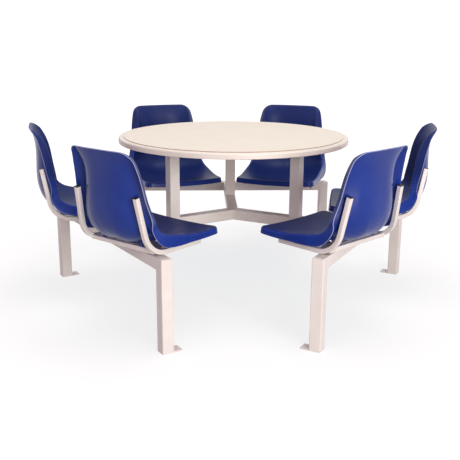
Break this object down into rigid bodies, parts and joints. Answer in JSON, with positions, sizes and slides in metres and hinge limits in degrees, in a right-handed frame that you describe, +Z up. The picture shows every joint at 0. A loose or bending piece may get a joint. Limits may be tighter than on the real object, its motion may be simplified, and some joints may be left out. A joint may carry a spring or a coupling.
{
  "type": "table with attached swivel seats",
  "caption": "Round canteen table on a welded square-tube frame, with plastic bucket seats on bent rails that swivel on the frame's cross beams.",
  "frame": {"origin": "on the floor under the middle of the table", "axes": "+Z up, +Y along the rear arm of the frame, +X to the right seen from the front"},
  "size_m": [1.95, 1.7835, 0.8143],
  "materials": {
    "laminate": "cream satin laminate over board",
    "edging": "satin moulded edging",
    "powder_coat": "off-white powder coat",
    "seat_plastic": "satin moulded plastic, royal blue",
    "black_plastic": "black moulded plastic",
    "zinc": "zinc-plated screws and washers",
    "bare_steel": "turned steel"
  },
  "bodies": {
    "frame": {"table_top": "laminate", "table_edge_band": "edging", "table_plates": "powder_coat", "table_screws": "zinc", "rear_upright": "powder_coat", "rear_arm": "powder_coat", "rear_beam": "powder_coat", "rear_post_a": "powder_coat", "rear_post_b": "powder_coat", "left_upright": "powder_coat", "left_arm": "powder_coat", "left_beam": "powder_coat", "left_post_a": "powder_coat", "left_post_b": "powder_coat", "right_upright": "powder_coat", "right_arm": "powder_coat", "right_beam": "powder_coat", "right_post_a": "powder_coat", "right_post_b": "powder_coat", "foot_plates": "powder_coat", "swivel_bushes": "bare_steel", "thrust_washers": "black_plastic", "stop_pins": "bare_steel"},
    "seat_1": {"seat_1_shell": "seat_plastic", "seat_1_rails": "powder_coat", "seat_1_rear_bar": "powder_coat", "seat_1_rail_plugs": "black_plastic", "seat_1_fixings": "zinc", "seat_1_swivel_plate": "powder_coat"},
    "seat_2": {"seat_2_shell": "seat_plastic", "seat_2_rails": "powder_coat", "seat_2_rear_bar": "powder_coat", "seat_2_rail_plugs": "black_plastic", "seat_2_fixings": "zinc", "seat_2_swivel_plate": "powder_coat"},
    "seat_3": {"seat_3_shell": "seat_plastic", "seat_3_rails": "powder_coat", "seat_3_rear_bar": "powder_coat", "seat_3_rail_plugs": "black_plastic", "seat_3_fixings": "zinc", "seat_3_swivel_plate": "powder_coat"},
    "seat_4": {"seat_4_shell": "seat_plastic", "seat_4_rails": "powder_coat", "seat_4_rear_bar": "powder_coat", "seat_4_rail_plugs": "black_plastic", "seat_4_fixings": "zinc", "seat_4_swivel_plate": "powder_coat"},
    "seat_5": {"seat_5_shell": "seat_plastic", "seat_5_rails": "powder_coat", "seat_5_rear_bar": "powder_coat", "seat_5_rail_plugs": "black_plastic", "seat_5_fixings": "zinc", "seat_5_swivel_plate": "powder_coat"},
    "seat_6": {"seat_6_shell": "seat_plastic", "seat_6_rails": "powder_coat", "seat_6_rear_bar": "powder_coat", "seat_6_rail_plugs": "black_plastic", "seat_6_fixings": "zinc", "seat_6_swivel_plate": "powder_coat"}
  },
  "joints": [
    {"name": "seat_1_swivel", "type": "hinge", "parent": "frame", "child": "seat_1", "pos_m": [-0.327, 0.675, 0.38], "axis": [0, 0, -1], "range_deg": [0, 90]},
    {"name": "seat_2_swivel", "type": "hinge", "parent": "frame", "child": "seat_2", "pos_m": [0.327, 0.675, 0.38], "axis": [0, 0, 1], "range_deg": [0, 90]},
    {"name": "seat_3_swivel", "type": "hinge", "parent": "frame", "child": "seat_3", "pos_m": [-0.42107, -0.62069, 0.38], "axis": [0, 0, -1], "range_deg": [0, 90]},
    {"name": "seat_4_swivel", "type": "hinge", "parent": "frame", "child": "seat_4", "pos_m": [-0.74807, -0.05431, 0.38], "axis": [0, 0, 1], "range_deg": [0, 90]},
    {"name": "seat_5_swivel", "type": "hinge", "parent": "frame", "child": "seat_5", "pos_m": [0.74807, -0.05431, 0.38], "axis": [0, 0, -1], "range_deg": [0, 90]},
    {"name": "seat_6_swivel", "type": "hinge", "parent": "frame", "child": "seat_6", "pos_m": [0.42107, -0.62069, 0.38], "axis": [0, 0, 1], "range_deg": [0, 90]}
  ]
}
